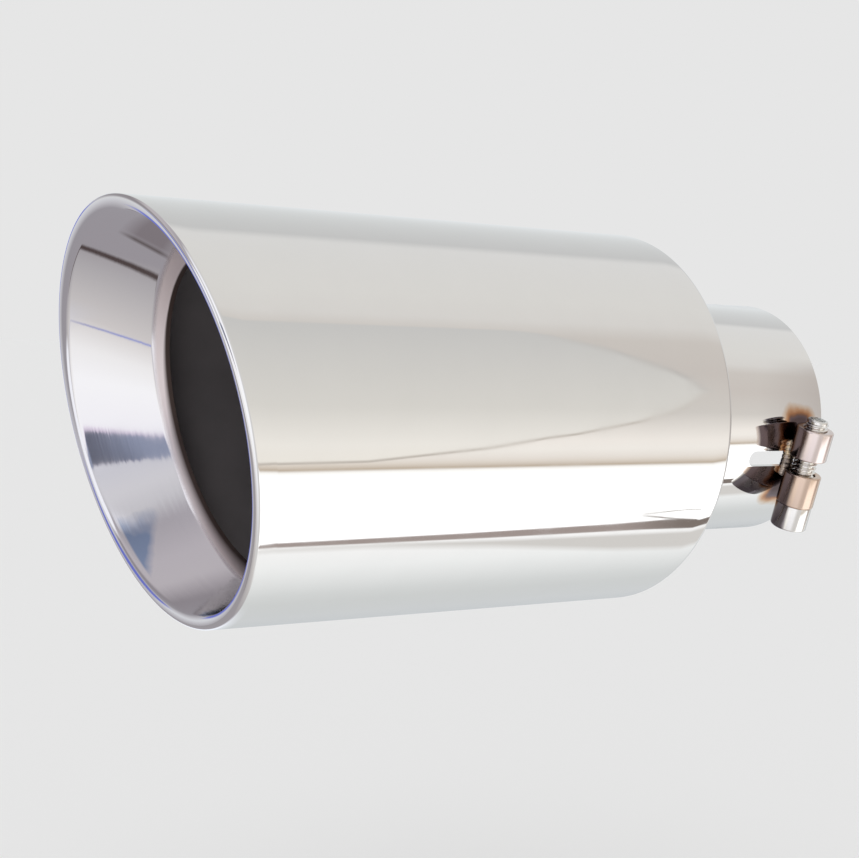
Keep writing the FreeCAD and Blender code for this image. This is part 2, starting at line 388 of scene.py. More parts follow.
def cut_slot(neck, sizes):
    """Cuts the slot: a round bar across the wall, half of it drawn out past the open end."""
    half = sizes.slot_width / 2
    centre = half - sizes.slot_length
    outer = sizes.neck_inner + sizes.sheet
    clear_selection()
    bpy.ops.mesh.primitive_cylinder_add(
        vertices=SLOT_SIDES,
        radius=half,
        depth=4 * sizes.sheet,
        location=(centre, outer - sizes.sheet / 2, 0),
        rotation=(math.pi / 2, 0, 0),
    )
    cutter = started("slot_cutter")
    select_where(cutter, "VERT", lambda place: place.x > centre + MERGE)
    bpy.ops.transform.translate(value=(sizes.slot_length + half, 0, 0))
    bpy.ops.object.mode_set(mode="OBJECT")
    place_round_neck(cutter, sizes)
    carve(neck, cutter)


def weld_drops(name, first, flat, fineness, turn, steps):
    """Drops of weld metal, one modelled and the others spun round the axis from it, fused into one bead.

    first is the place of the drop that is modelled, and flat its half-sizes.
    """
    clear_selection()
    bpy.ops.mesh.primitive_uv_sphere_add(segments=24, ring_count=12, radius=1, location=(0, 0, 0))
    piece = bpy.context.object
    piece.scale = flat
    piece.location = first
    piece = started(name)
    bpy.ops.mesh.select_all(action="SELECT")
    bpy.ops.mesh.spin(steps=steps, angle=turn, center=(0, 0, 0), axis=(1, 0, 0), dupli=True)
    bpy.ops.object.mode_set(mode="OBJECT")
    apply_modifier(piece, "REMESH", mode="VOXEL", voxel_size=fineness)
    apply_modifier(piece, "SMOOTH", factor=0.5, iterations=2)
    return piece


def boss_barrel(name, start, length, bore, sizes):
    """A turned barrel with broken edges and a bore, in the clamp's own upright place."""
    centre = Vector((-sizes.boss_setback, screw_offset(sizes), start + length / 2))
    clear_selection()
    bpy.ops.mesh.primitive_cylinder_add(
        vertices=BARREL_SIDES, radius=sizes.boss_radius, depth=length, location=centre
    )
    barrel = started(name)
    rim = sizes.boss_radius * math.cos(math.pi / BARREL_SIDES)

    def from_screw(place):
        return math.hypot(place.x - centre.x, place.y - centre.y)

    def on_an_end(place):
        return abs(place.z - centre.z) > length / 2 - MERGE

    def at_the_bore(place):
        return on_an_end(place) and from_screw(place) < bore + 2 * MERGE

    select_where(barrel, "FACE", on_an_end)
    bpy.ops.mesh.inset(thickness=sizes.boss_radius - bore)
    bpy.ops.mesh.delete(type="ONLY_FACE")
    select_where(barrel, "EDGE", at_the_bore)
    bpy.ops.mesh.bridge_edge_loops()
    select_where(barrel, "EDGE", at_the_bore)
    bpy.ops.mesh.bevel(offset=0.3 * MM, segments=3, affect="EDGES")
    select_where(barrel, "EDGE", lambda place: on_an_end(place) and from_screw(place) > rim - 2 * MERGE)
    bpy.ops.mesh.bevel(offset=0.45 * MM, segments=4, affect="EDGES")
    make_whole()
    bpy.ops.object.mode_set(mode="OBJECT")
    return barrel


def screw_offset(sizes):
    """Distance of the screw's centre line from the tip's axis."""
    return sizes.neck_inner + sizes.sheet + sizes.boss_radius - sizes.boss_sink


def join(pieces):
    """Joins pieces into the first one."""
    pick(pieces[0])
    for piece in pieces[1:]:
        piece.select_set(True)
    bpy.ops.object.join()
    return pieces[0]


def boss_piece(node, side, length, bore, sizes):
    """One boss with a rippled weld bead on either side of it. side is 1 below the slot and -1 above."""
    gap = sizes.slot_width / 2
    start = gap if side > 0 else -gap - length
    barrel = boss_barrel(node + "_turned", start, length, bore, sizes)
    outer = sizes.neck_inner + sizes.sheet
    inset = 0.9 * MM
    near = math.asin((gap + inset) / outer)
    far = math.asin((gap + length - inset) / outer)
    # The drops are laid high enough to stay out of the neck's bore.
    high = outer + 0.25 * sizes.bead_radius
    up, level = high * math.sin(side * near), high * math.cos(side * near)
    flat = (sizes.bead_radius, 0.76 * sizes.bead_radius, 0.55 * sizes.bead_radius)
    parts = [barrel]
    for across in (-1, 1):
        first = (-sizes.boss_setback + across * sizes.bead_offset, level, up)
        parts.append(weld_drops(node + "_bead", first, flat, 0.14 * MM, side * (far - near), BEAD_DROPS))
    turned_faces = len(barrel.data.polygons)
    piece = join(parts)
    piece["turned_faces"] = turned_faces
    place_round_neck(piece, sizes)
    return piece


def upright_bar(name, centre, start, length, radius, sides, *broken):
    """A round bar in the clamp's own upright place. A broken edge is an end's height, a width and steps."""
    clear_selection()
    place = (*centre, start + length / 2)
    bpy.ops.mesh.primitive_cylinder_add(vertices=sides, radius=radius, depth=length, location=place)
    bar = started(name)
    for end, width, steps in broken:
        select_where(bar, "FACE", lambda place, end=end: abs(place.z - end) < MERGE)
        bpy.ops.mesh.bevel(offset=width, segments=steps, affect="EDGES")
    make_whole()
    bpy.ops.object.mode_set(mode="OBJECT")
    return bar


def screw_thread(sizes, turns):
    """The thread: a ridge's outline, drawn up in a screw, that runs out at its lower end."""
    root = sizes.screw_radius - sizes.thread_depth
    top = sizes.screw_radius
    pitch = sizes.thread_pitch
    foot = root - 0.25 * MM
    shoulder = top - 0.05 * MM
    # Each point is out from the screw's centre line, and a share of the pitch up.
    ridge = (
        (foot, 0.14),
        (root, 0.14),
        (shoulder, 0.49),
        (top, 0.53),
        (top, 0.61),
        (shoulder, 0.65),
        (root, 1),
        (foot, 1),
    )
    thread = drawn_outline("screw_thread", [(out, 0, up * pitch) for out, up in ridge])
    bpy.ops.object.mode_set(mode="OBJECT")
    steps = {"steps": 64, "render_steps": 64, "iterations": turns}
    apply_modifier(thread, "SCREW", axis="Z", screw_offset=pitch, use_merge_vertices=False, **steps)
    bpy.ops.object.mode_set(mode="EDIT")
    for reach in (0.45 * pitch, 0.2 * pitch):
        select_where(thread, "VERT", lambda place, reach=reach: place.z < reach)
        bpy.ops.transform.resize(value=(0.9, 0.9, 1), center_override=(0, 0, 0))
    select_borders(thread)
    bpy.ops.mesh.edge_face_add()
    bpy.ops.mesh.select_all(action="SELECT")
    bpy.ops.mesh.normals_make_consistent(inside=False)
    bpy.ops.object.mode_set(mode="OBJECT")
    return thread


def screw_piece(sizes):
    """The clamp screw: a threaded shank, and a head with a hexagon socket."""
    gap = sizes.slot_width / 2
    seat = gap + sizes.lower_boss
    free_end = -gap - sizes.upper_boss - sizes.screw_end
    centre = (-sizes.boss_setback, screw_offset(sizes))
    root = sizes.screw_radius - sizes.thread_depth
    thread = screw_thread(sizes, math.ceil((gap + 4 * MM - free_end) / sizes.thread_pitch))
    thread.location = (*centre, free_end + 0.1 * MM)
    pick(thread)
    bpy.ops.object.transform_apply(location=True, rotation=True, scale=True)

    # The core is a hair thicker than the thread's root, so that no gap shows between them.
    core_length = seat - free_end + MM
    end = (free_end, 0.35 * MM, 2)
    core = upright_bar("screw_core", centre, free_end, core_length, root + 0.04 * MM, BAR_SIDES, end)
    top_of_head = seat + sizes.head_height
    crown = (top_of_head, 0.55 * MM, 5)
    rim = (seat, 0.2 * MM, 3)
    head = upright_bar(
        "screw_head", centre, seat, sizes.head_height, sizes.head_radius, BARREL_SIDES, crown, rim
    )
    corner = sizes.socket / 2 / math.cos(math.pi / 6)
    floor = top_of_head - sizes.socket_depth
    carve(head, upright_bar("socket_cutter", centre, floor, 2 * sizes.socket_depth, corner, 6))
    point = (free_end, 0.4 * MM, 3)
    tip = upright_bar(
        "screw_tip", centre, free_end, 0.9 * MM, sizes.screw_radius - 0.3 * MM, BAR_SIDES, point
    )
    piece = join([head, core, tip, thread])
    piece.name = "socket_head_clamp_screw"
    place_round_neck(piece, sizes)
    return piece


# Materials


def set_inputs(node, values=None, links=None):
    """Gives a node's inputs values and links, each from a socket or from a node's first output in use."""
    for socket, value in (values or {}).items():
        node.inputs[socket].default_value = value
    for socket, source in (links or {}).items():
        if isinstance(source, bpy.types.Node):
            source = next(output for output in source.outputs if output.enabled)
        node.id_data.links.new(source, node.inputs[socket])


def add_node(tree, kind, values=None, links=None, **settings):
    """Adds a shader node with its settings, and its inputs' values and links."""
    node = tree.nodes.new("ShaderNode" + kind)
    for key, value in settings.items():
        setattr(node, key, value)
    set_inputs(node, values, links)
    return node


def span(from_low, from_high, to_low=0, to_high=1):
    """The limits of a range and of the range that it is laid onto."""
    return {"From Min": from_low, "From Max": from_high, "To Min": to_low, "To Max": to_high}


def shaded(rgba, factor):
    """A colour, darker or lighter by a factor."""
    return tuple(min(1, factor * part) for part in rgba[:3]) + (1,)


def set_ramp(node, stops):
    """Sets a colour ramp's stops, each a place from 0 to 1 and a linear colour."""
    ramp = node.color_ramp
    while len(ramp.elements) > 1:
        ramp.elements.remove(ramp.elements[0])
    for number, (place, rgba) in enumerate(stops):
        stop = ramp.elements[0] if number == 0 else ramp.elements.new(place)
        stop.position = place
        stop.color = rgba


def new_material(name):
    """A material with only a shader and its output. Returns the material, its tree and the shader."""
    material = bpy.data.materials.new(name)
    material.use_nodes = True
    tree = material.node_tree
    tree.nodes.clear()
    shader = add_node(tree, "BsdfPrincipled")
    add_node(tree, "OutputMaterial", links={"Surface": shader})
    return material, tree, shader


def polished_stainless(finish, name="mirror_polished_stainless"):
    """Stainless sheet, buffed to a mirror: sharp reflections under a faint, uneven haze."""
    material, tree, shader = new_material(name)
    place = add_node(tree, "TexCoord").outputs["Object"]
    haze = add_node(tree, "TexNoise", {"Scale": 1 / (9 * MM), "Detail": 4}, {"Vector": place})
    rough = add_node(tree, "MapRange", span(0.35, 0.75, 0.028, 0.07), {"Value": haze})
    steels = {"A": finish.steel, "B": shaded(finish.steel, 0.97)}
    tint = add_node(tree, "Mix", steels, {"Factor": haze}, data_type="RGBA")
    set_inputs(shader, {"Metallic": 1}, {"Roughness": rough, "Base Color": tint})
    return material


def banded_stainless(finish, sizes):
    """The mouth's band, polished round and round on a flap wheel.

    The wheel leans into the mouth and leaves fine steps that face outwards, so the band shows the room in
    front of the mouth instead of the dark inside, with edges drawn out along the lines.
    """
    material, tree, shader = new_material("flap_polished_stainless")
    body = sizes.body_radius
    place = add_node(tree, "TexCoord").outputs["Object"]
    parts = add_node(tree, "SeparateXYZ", links={"Vector": place}).outputs
    into_mouth = (1, 0, slant_slope(sizes))
    along_mouth = add_node(tree, "VectorMath", {1: into_mouth}, {0: place}, operation="DOT_PRODUCT")
    depth = add_node(tree, "Math", {1: rim_centre(sizes)}, {0: along_mouth}, operation="SUBTRACT")

    backward = add_node(tree, "Math", {1: -1}, {0: parts["Z"]}, operation="MULTIPLY")
    around = add_node(tree, "CombineXYZ", links={"Y": backward, "Z": parts["Y"]})
    along_lines = add_node(tree, "VectorMath", links={0: around}, operation="NORMALIZE")

    # The lines: one every LINE_SPACING of depth, each some centimetres long, and deeper in the lower half.
    drawn_out = add_node(tree, "Math", {1: LINE_LENGTH / LINE_SPACING}, {0: depth}, operation="MULTIPLY")
    lines_place = add_node(tree, "CombineXYZ", links={"X": drawn_out, "Y": parts["Y"], "Z": parts["Z"]})
    lines = add_node(tree, "TexNoise", {"Scale": 1 / LINE_LENGTH, "Detail": 1}, {"Vector": lines_place})
    half = (0.5, 0.5, 0.5)
    wobble = add_node(tree, "VectorMath", {1: half}, {0: lines.outputs["Color"]}, operation="SUBTRACT")
    wobble = add_node(tree, "VectorMath", {1: LINE_WOBBLE}, {0: wobble}, operation="MULTIPLY")
    deeper_below = add_node(tree, "MapRange", span(0.2 * body, -0.1 * body, 0.1, 1), {"Value": parts["Z"]})
    wobble = add_node(tree, "VectorMath", links={0: wobble, "Scale": deeper_below}, operation="SCALE")
    lean = add_node(tree, "MapRange", span(0, sizes.band_depth, *STEPS_LEAN), {"Value": depth})
    lean_out = add_node(tree, "CombineXYZ", links={"X": lean})
    # The flange is brushed with the same wheel, only coarser, so its steps face the same way as the band's.
    bend = span(sizes.band_depth - 1.2 * MM, sizes.band_depth - 0.1 * MM)
    on_flange = add_node(tree, "MapRange", bend, {"Value": depth})
    outwards = add_node(tree, "CombineXYZ", links={"Y": parts["Y"], "Z": parts["Z"]})
    inwards = add_node(tree, "VectorMath", {1: (-1, -1, -1)}, {0: outwards}, operation="MULTIPLY")
    inwards = add_node(tree, "VectorMath", links={0: inwards}, operation="NORMALIZE")
    surface = add_node(tree, "NewGeometry").outputs["Normal"]
    sides = {"Factor": on_flange, "A": surface, "B": inwards}
    surface = add_node(tree, "Mix", links=sides, data_type="VECTOR")
    leaning = add_node(tree, "VectorMath", links={0: surface, 1: lean_out}, operation="ADD")
    leaning = add_node(tree, "VectorMath", links={0: leaning, 1: wobble}, operation="ADD")
    facing = add_node(tree, "VectorMath", links={0: leaning}, operation="NORMALIZE")

    haze = add_node(tree, "TexNoise", {"Scale": 1 / (12 * MM), "Detail": 3}, {"Vector": place})
    rough = add_node(tree, "MapRange", span(0.3, 0.7, 0.06, 0.12), {"Value": haze})
    duller_below = add_node(tree, "MapRange", span(0.3 * body, -0.1 * body, 0.35, 1), {"Value": parts["Z"]})
    rough = add_node(tree, "Math", links={0: rough, 1: duller_below}, operation="MULTIPLY")
    rough = add_node(tree, "Mix", {"B": FLANGE_ROUGHNESS}, {"Factor": on_flange, "A": rough})

    # Painted reflections: a darker brownish patch at the top with a dark edge line, and a blue one below.
    round_mouth = add_node(tree, "Math", links={0: parts["Z"], 1: parts["Y"]}, operation="ARCTAN2")
    angle = add_node(tree, "Math", links={0: round_mouth}, operation="DEGREES")

    def between(value, low, high, soft):
        """1 where the value lies between two limits, with soft edges."""
        rise = add_node(tree, "MapRange", span(low - soft, low + soft), {"Value": value})
        fall = add_node(tree, "MapRange", span(high + soft, high - soft), {"Value": value})
        return add_node(tree, "Math", links={0: rise, 1: fall}, operation="MULTIPLY")

    uneven = add_node(tree, "MapRange", span(0.3, 0.7, -4, 4), {"Value": haze})
    uneven_angle = add_node(tree, "Math", links={0: angle, 1: uneven}, operation="ADD")
    sloped = add_node(tree, "Math", {1: 0.7 / MM}, {0: depth, 2: angle}, operation="MULTIPLY_ADD")
    deep = between(depth, 11 * MM, 23.5 * MM, 2.5 * MM)
    by_angle = add_node(tree, "Math", {1: -0.42 * MM}, {0: angle, 2: depth}, operation="MULTIPLY_ADD")
    by_angle = add_node(tree, "Math", {1: 0.35 * MM}, {0: uneven, 2: by_angle}, operation="MULTIPLY_ADD")
    lip_side = between(by_angle, 0, 28.3 * MM, 1.3 * MM)
    inside_lip = between(depth, 2.6 * MM, 40 * MM, 0.3 * MM)
    both_sides = add_node(tree, "Math", links={0: lip_side, 1: inside_lip}, operation="MULTIPLY")
    # Painted shade: the flange darkens to the hole's edge, a thin brown line above and a wide painted shade
    # below.
    hole = min(out for along, out in ring_stops(sizes))
    shade = span(0.5 * body, -0.3 * body, 0.5 * MM, 5 * MM)
    shade_width = add_node(tree, "MapRange", shade, {"Value": parts["Z"]})
    out = add_node(tree, "VectorMath", links={0: outwards}, operation="LENGTH")
    from_hole = add_node(tree, "Math", {1: hole + 0.1 * MM}, {0: out}, operation="SUBTRACT")
    from_hole = add_node(tree, "Math", links={0: from_hole, 1: shade_width}, operation="DIVIDE")
    painted_hole_shade = add_node(tree, "MapRange", span(1, 0), {"Value": from_hole})
    # Each mark lies where both of its masks do: painted reflections, the flange's own tint, and painted shade
    # at the hole.
    painted_light_and_flange_tint = (
        # painted reflection: a darker patch at the top of the band, then its dark edge line
        (between(sloped, 75.3, 112, 2.5), deep, "#d3cdcd"),
        (between(sloped, 73.9, 75.5, 0.8), deep, "#a09894"),
        # painted reflection: a blue patch low on the band
        (between(uneven_angle, -64, -42, 4), both_sides, "#adc4e2"),
        # the flange's own pinkish tint
        (on_flange, None, "#f4e9e6"),
        # painted shade at the hole's edge
        (painted_hole_shade, None, "#4b403b"),
    )
    tint = None
    for mask, where, patch_colour in painted_light_and_flange_tint:
        if where:
            mask = add_node(tree, "Math", links={0: mask, 1: where}, operation="MULTIPLY")
        values = {"B": tuple(a * b for a, b in zip(finish.band, linear(patch_colour)))}
        links = {"Factor": mask}
        if tint:
            links["A"] = tint
        else:
            values["A"] = finish.band
        tint = add_node(tree, "Mix", values, links, data_type="RGBA")
    steady = {"Metallic": 1, "Anisotropic": 0.6, "Anisotropic Rotation": 0.25}
    varied = {"Tangent": along_lines, "Normal": facing, "Roughness": rough, "Base Color": tint}
    set_inputs(shader, steady, varied)
    return material


def darkened_mill_steel(finish):
    """Mill-finish sheet inside the body, dulled and darkened: no clear reflection, uneven brown-black."""
    material, tree, shader = new_material("sooted_mill_finish_steel")
    place = add_node(tree, "TexCoord").outputs["Object"]
    blotch = add_node(tree, "TexNoise", {"Scale": 1 / (15 * MM), "Detail": 6}, {"Vector": place})
    # The inside of the body is drawn darker than plain mill-finish steel, in uneven brown-black tones.
    inner_tones = {"A": shaded(finish.inner_steel, 0.8), "B": shaded(finish.inner_steel, 1.25)}
    tint = add_node(tree, "Mix", inner_tones, {"Factor": blotch}, data_type="RGBA")
    set_inputs(shader, {"Roughness": 0.85, "Specular IOR Level": 0.2}, {"Base Color": tint})
    return material


# The colours that heat leaves on stainless steel, from the weld outwards.
HEAT_TINTS = (
    (0.0, "#57494a"),
    (0.14, "#64565a"),
    (0.26, "#7a5d50"),
    (0.40, "#a67654"),
    (0.58, "#c59d7c"),
    (0.78, "#d9c8b7"),
    (1.0, "#e3e1de"),
)


def turned_upright(tree, sizes, place):
    """A place on the tip as it lies before the clamp is turned to its place round the neck."""
    angle = {"Angle": -sizes.clamp_turn}
    return add_node(tree, "VectorRotate", angle, {"Vector": place}, rotation_type="X_AXIS")


def heat_tint(tree, sizes, spread):
    """A colour that runs out from the two bosses' welds: dark brown, bronze, straw, then plain steel."""
    place = add_node(tree, "TexCoord").outputs["Object"]
    upright = turned_upright(tree, sizes, place)
    parts = add_node(tree, "SeparateXYZ", links={"Vector": upright}).outputs

    def beyond(value, middle, half):
        """How far a value lies outside a span."""
        off = add_node(tree, "Math", {1: middle}, {0: value}, operation="SUBTRACT")
        off = add_node(tree, "Math", links={0: off}, operation="ABSOLUTE")
        off = add_node(tree, "Math", {1: half}, {0: off}, operation="SUBTRACT")
        return add_node(tree, "Math", {1: 0}, {0: off}, operation="MAXIMUM")

    along = beyond(parts["X"], -sizes.boss_setback, sizes.bead_offset)
    # The half of the neck that faces away from the bosses stays plain.
    own = add_node(tree, "SeparateXYZ", links={"Vector": place}).outputs
    behind = beyond(own["Y"], -sizes.body_radius, sizes.body_radius)
    gap = sizes.slot_width / 2
    nearest = None
    for side, length in ((-1, sizes.upper_boss), (1, sizes.lower_boss)):
        up = beyond(parts["Z"], side * (gap + length / 2), length / 2)
        flat = add_node(tree, "CombineXYZ", links={"X": along, "Y": behind, "Z": up})
        away = add_node(tree, "VectorMath", links={0: flat}, operation="LENGTH")
        if nearest:
            away = add_node(tree, "Math", links={0: nearest, 1: away}, operation="MINIMUM")
        nearest = away
    mottle = add_node(tree, "TexNoise", {"Scale": 1 / (4 * MM), "Detail": 3}, {"Vector": place})
    wander = add_node(tree, "MapRange", span(0, 1, -MM, MM), {"Value": mottle})
    nearest = add_node(tree, "Math", links={0: nearest, 1: wander}, operation="ADD")
    step = add_node(tree, "MapRange", span(0, spread), {"Value": nearest})
    ramp = add_node(tree, "ValToRGB", links={"Fac": step})
    set_ramp(ramp, [(place, linear(tint)) for place, tint in HEAT_TINTS])
    return ramp


def tinted_neck(finish, sizes):
    """Stainless tube, polished, with the rings of colour that welding the bosses left on it."""
    material = polished_stainless(finish, "heat_tinted_stainless_tube")
    tree = material.node_tree
    shader = next(n for n in tree.nodes if n.type == "BSDF_PRINCIPLED")
    set_inputs(shader, links={"Base Color": heat_tint(tree, sizes, 4.5 * MM)})
    return material


def cap_side_reflection(tree, sizes, upright, plain, full):
    """1 on the clamp pieces' side towards the cap and the neck, where a dark reflection of them is painted.
    """
    centre = (-sizes.boss_setback, screw_offset(sizes), 0)
    from_screw = add_node(tree, "VectorMath", {1: centre}, {0: upright}, operation="SUBTRACT")
    to_cap = add_node(tree, "VectorMath", {1: CAP_AND_NECK}, {0: from_screw}, operation="DOT_PRODUCT")
    return add_node(tree, "MapRange", span(plain, full), {"Value": to_cap})


def boss_steel(finish, sizes):
    """Turned stainless bar: faint rings of the lathe's tool, browned by the weld's heat near the neck, with a
    painted dark reflection on the side towards the cap and neck.
    """
    material, tree, shader = new_material("turned_stainless_bar")
    place = add_node(tree, "TexCoord").outputs["Object"]
    upright = turned_upright(tree, sizes, place)
    parts = add_node(tree, "SeparateXYZ", links={"Vector": upright}).outputs
    out = add_node(tree, "Math", {1: screw_offset(sizes)}, {0: parts["Y"]}, operation="SUBTRACT")
    mottle = add_node(tree, "TexNoise", {"Scale": 1 / (3 * MM), "Detail": 4}, {"Vector": place})
    wander = add_node(tree, "MapRange", span(0, 1, -MM, MM), {"Value": mottle})
    out = add_node(tree, "Math", links={0: out, 1: wander}, operation="ADD")
    inner = add_node(tree, "MapRange", span(0.5 * MM, -1.5 * MM), {"Value": out})
    # Painted dark reflection of the cap and neck, on the side that faces them.
    boss_dark_reflection = cap_side_reflection(tree, sizes, upright, 0.34 * sizes.boss_radius, 0.5 * sizes.boss_radius)
    burn_and_painted_reflection = add_node(tree, "Math", links={0: inner, 1: boss_dark_reflection}, operation="MAXIMUM")
    # The lower boss is a little browner than the upper one.
    lower = add_node(tree, "MapRange", span(-MM, MM), {"Value": parts["Z"]})
    both_bosses = {"A": finish.boss, "B": linear("#d2baa7")}
    clean = add_node(tree, "Mix", both_bosses, {"Factor": lower}, data_type="RGBA")
    # This brown is both the heat tint near the neck and the painted dark reflection on the cap's side.
    tint = add_node(tree, "Mix", {"B": linear("#665756")}, {"Factor": burn_and_painted_reflection, "A": clean}, data_type="RGBA")
    # The wave texture has a ring for every tau / 20 of its scaled height.
    waves = {"Scale": math.tau / (20 * TOOL_FEED), "Distortion": 0.6, "Detail": 1}
    rings = add_node(tree, "TexWave", waves, {"Vector": upright}, bands_direction="Z")
    depth = {"Strength": 0.06, "Distance": 0.02 * MM}
    bump = add_node(tree, "Bump", depth, {"Height": rings.outputs["Fac"]})
    rough = add_node(tree, "MapRange", span(0, 1, 0.12, 0.26), {"Value": mottle})
    set_inputs(shader, {"Metallic": 1}, {"Base Color": tint, "Normal": bump, "Roughness": rough})
    return material


def plated_screw(finish, sizes):
    """Steel, cold-headed and bright-plated: clear, faintly hazed reflections, with a painted dark reflection
    on the side towards the cap and neck.
    """
    material, tree, shader = new_material("bright_plated_steel")
    place = add_node(tree, "TexCoord").outputs["Object"]
    spots = add_node(tree, "TexNoise", {"Scale": 1 / (1.5 * MM), "Detail": 5}, {"Vector": place})
    rough = add_node(tree, "MapRange", span(0.4, 0.7, 0.09, 0.16), {"Value": spots})
    platings = {"A": finish.screw, "B": shaded(finish.screw, 0.9)}
    clean = add_node(tree, "Mix", platings, {"Factor": spots}, data_type="RGBA")
    upright = turned_upright(tree, sizes, place)
    dark_reflection_mask = cap_side_reflection(tree, sizes, upright, 0.22 * sizes.head_radius, 0.4 * sizes.head_radius)
    # Painted dark reflection of the cap and neck on the screw.
    tint = add_node(tree, "Mix", {"B": linear("#6a6264")}, {"Factor": dark_reflection_mask, "A": clean}, data_type="RGBA")
    set_inputs(shader, {"Metallic": 1}, {"Roughness": rough, "Base Color": tint})
    return material


def weld_metal(finish):
    """Weld metal laid without filler: satin ripples, from straw through bronze to grey-blue."""
    material, tree, shader = new_material("rippled_weld_metal")
    place = add_node(tree, "TexCoord").outputs["Object"]
    mottle = add_node(tree, "TexNoise", {"Scale": 1 / (2.5 * MM), "Detail": 3}, {"Vector": place})
    ramp = add_node(tree, "ValToRGB", links={"Fac": mottle})
    dark, straw, blue = linear("#6f665f"), linear("#c9b390"), linear("#7d8798")
    set_ramp(ramp, [(0.3, dark), (0.45, finish.weld), (0.6, straw), (0.72, blue)])
    rough = add_node(tree, "MapRange", span(0, 1, 0.22, 0.42), {"Value": mottle})
    set_inputs(shader, {"Metallic": 1}, {"Base Color": ramp, "Roughness": rough})
    return material


def material_once(make, *arguments):
    """A material that several pieces share, made when the first of them asks for it."""
    key = make.__name__
    for material in bpy.data.materials:
        if material.get("made_by") == key:
            return material
    material = make(*arguments)
    material["made_by"] = key
    return material


# Operators


class TIP_OT_outer_shell(bpy.types.Operator):
    """Model the rolled, polished shell"""

    bl_idname = "exhaust_tip.outer_shell"
    bl_label = "Outer shell"

    def execute(self, context):
        sizes, finish = context.scene.tip_sizes, context.scene.tip_finish
        piece = turned_about_axis("rolled_outer_shell", shell_stops(sizes))
        bpy.ops.object.mode_set(mode="EDIT")
        bpy.ops.mesh.select_all(action="SELECT")
        across_mouth = Vector((1, 0, slant_slope(sizes)))
        seam = (rim_centre(sizes) + sizes.ring_seam, 0, 0)
        bpy.ops.mesh.bisect(plane_co=seam, plane_no=across_mouth, clear_inner=True)
        select_borders(piece)
        bpy.ops.mesh.bridge_edge_loops()
        make_whole()
        bpy.ops.object.mode_set(mode="OBJECT")
        middle = sizes.body_radius - sizes.sheet / 2
        outside = material_once(polished_stainless, finish)
        inside = material_once(darkened_mill_steel, finish)
        finish_piece(
            piece,
            ["outer_shell"],
            [outside, inside],
            lambda place: int(out_from_axis(place) < middle),
        )
        return {"FINISHED"}


class TIP_OT_mouth_ring(bpy.types.Operator):
    """Model the folded lip, the polished band and the flange round the hole"""

    bl_idname = "exhaust_tip.mouth_ring"
    bl_label = "Mouth ring"

    def execute(self, context):
        sizes, finish = context.scene.tip_sizes, context.scene.tip_finish
        piece = turned_about_axis("folded_mouth_ring", ring_stops(sizes))
        lip_out = sizes.body_radius - sizes.lip_radius
        flange_back = sizes.band_depth + sizes.sheet / 2
        kinds = []
        for face in piece.data.polygons:
            out = out_from_axis(face.center)
            outward = (face.normal.y * face.center.y + face.normal.z * face.center.z) / out
            is_back = face.normal.x > 0.5 or (outward > 0.2 and out < sizes.body_radius - sizes.sheet)
            is_lip = out > lip_out
            kinds.append(2 if is_back and face.center.x > sizes.lip_edge_radius else 0 if is_lip else 1)
        for vertex in piece.data.vertices:
            vertex.co.x += rim_centre(sizes) - slant_slope(sizes) * vertex.co.z
        materials = [
            material_once(polished_stainless, finish),
            material_once(banded_stainless, finish, sizes),
            material_once(darkened_mill_steel, finish),
        ]
        finish_piece(piece, ["mouth_ring"], materials)
        for face, kind in zip(piece.data.polygons, kinds):
            face.material_index = kind
        return {"FINISHED"}


class TIP_OT_rear_cap(bpy.types.Operator):
    """Model the pressed disc that closes the shell round the neck"""

    bl_idname = "exhaust_tip.rear_cap"
    bl_label = "Rear cap"

    def execute(self, context):
        sizes, finish = context.scene.tip_sizes, context.scene.tip_finish
        piece = turned_about_axis("pressed_rear_cap", cap_stops(sizes))
        outside = material_once(polished_stainless, finish)
        inside = material_once(darkened_mill_steel, finish)
        middle = sizes.body_radius - sizes.sheet / 2
        front = sizes.rear_face - sizes.sheet / 2
        finish_piece(
            piece,
            ["rear_cap"],
            [outside, inside],
            lambda place: int(place.x < front and out_from_axis(place) < middle),
        )
        return {"FINISHED"}


class TIP_OT_inlet_neck(bpy.types.Operator):
    """Model the slotted tube that the tailpipe goes into"""

    bl_idname = "exhaust_tip.inlet_neck"
    bl_label = "Inlet neck"

    def execute(self, context):
        sizes, finish = context.scene.tip_sizes, context.scene.tip_finish
        piece = turned_about_axis("slotted_inlet_neck", neck_stops(sizes))
        cut_slot(piece, sizes)
        outside = material_once(tinted_neck, finish, sizes)
        inside = material_once(darkened_mill_steel, finish)
        bore = sizes.neck_inner + 0.1 * sizes.sheet
        finish_piece(
            piece,
            ["inlet_neck"],
            [outside, inside],
            lambda place: int(out_from_axis(place) < bore),
        )
        return {"FINISHED"}


class TIP_OT_neck_weld(bpy.types.Operator):
    """Model the rippled weld that holds the neck in the cap"""

    bl_idname = "exhaust_tip.neck_weld"
    bl_label = "Neck weld"

    def execute(self, context):
        sizes, finish = context.scene.tip_sizes, context.scene.tip_finish
        outer = sizes.neck_inner + sizes.sheet
        first = (sizes.rear_face + 0.75 * MM, 0, outer + 0.57 * MM)
        flat = (1.45 * MM, 0.8 * MM, 1.6 * MM)
        piece = weld_drops("rippled_neck_weld", first, flat, 0.25 * MM, math.tau, NECK_DROPS)
        finish_piece(piece, ["neck_weld"], [material_once(weld_metal, finish)])
        return {"FINISHED"}


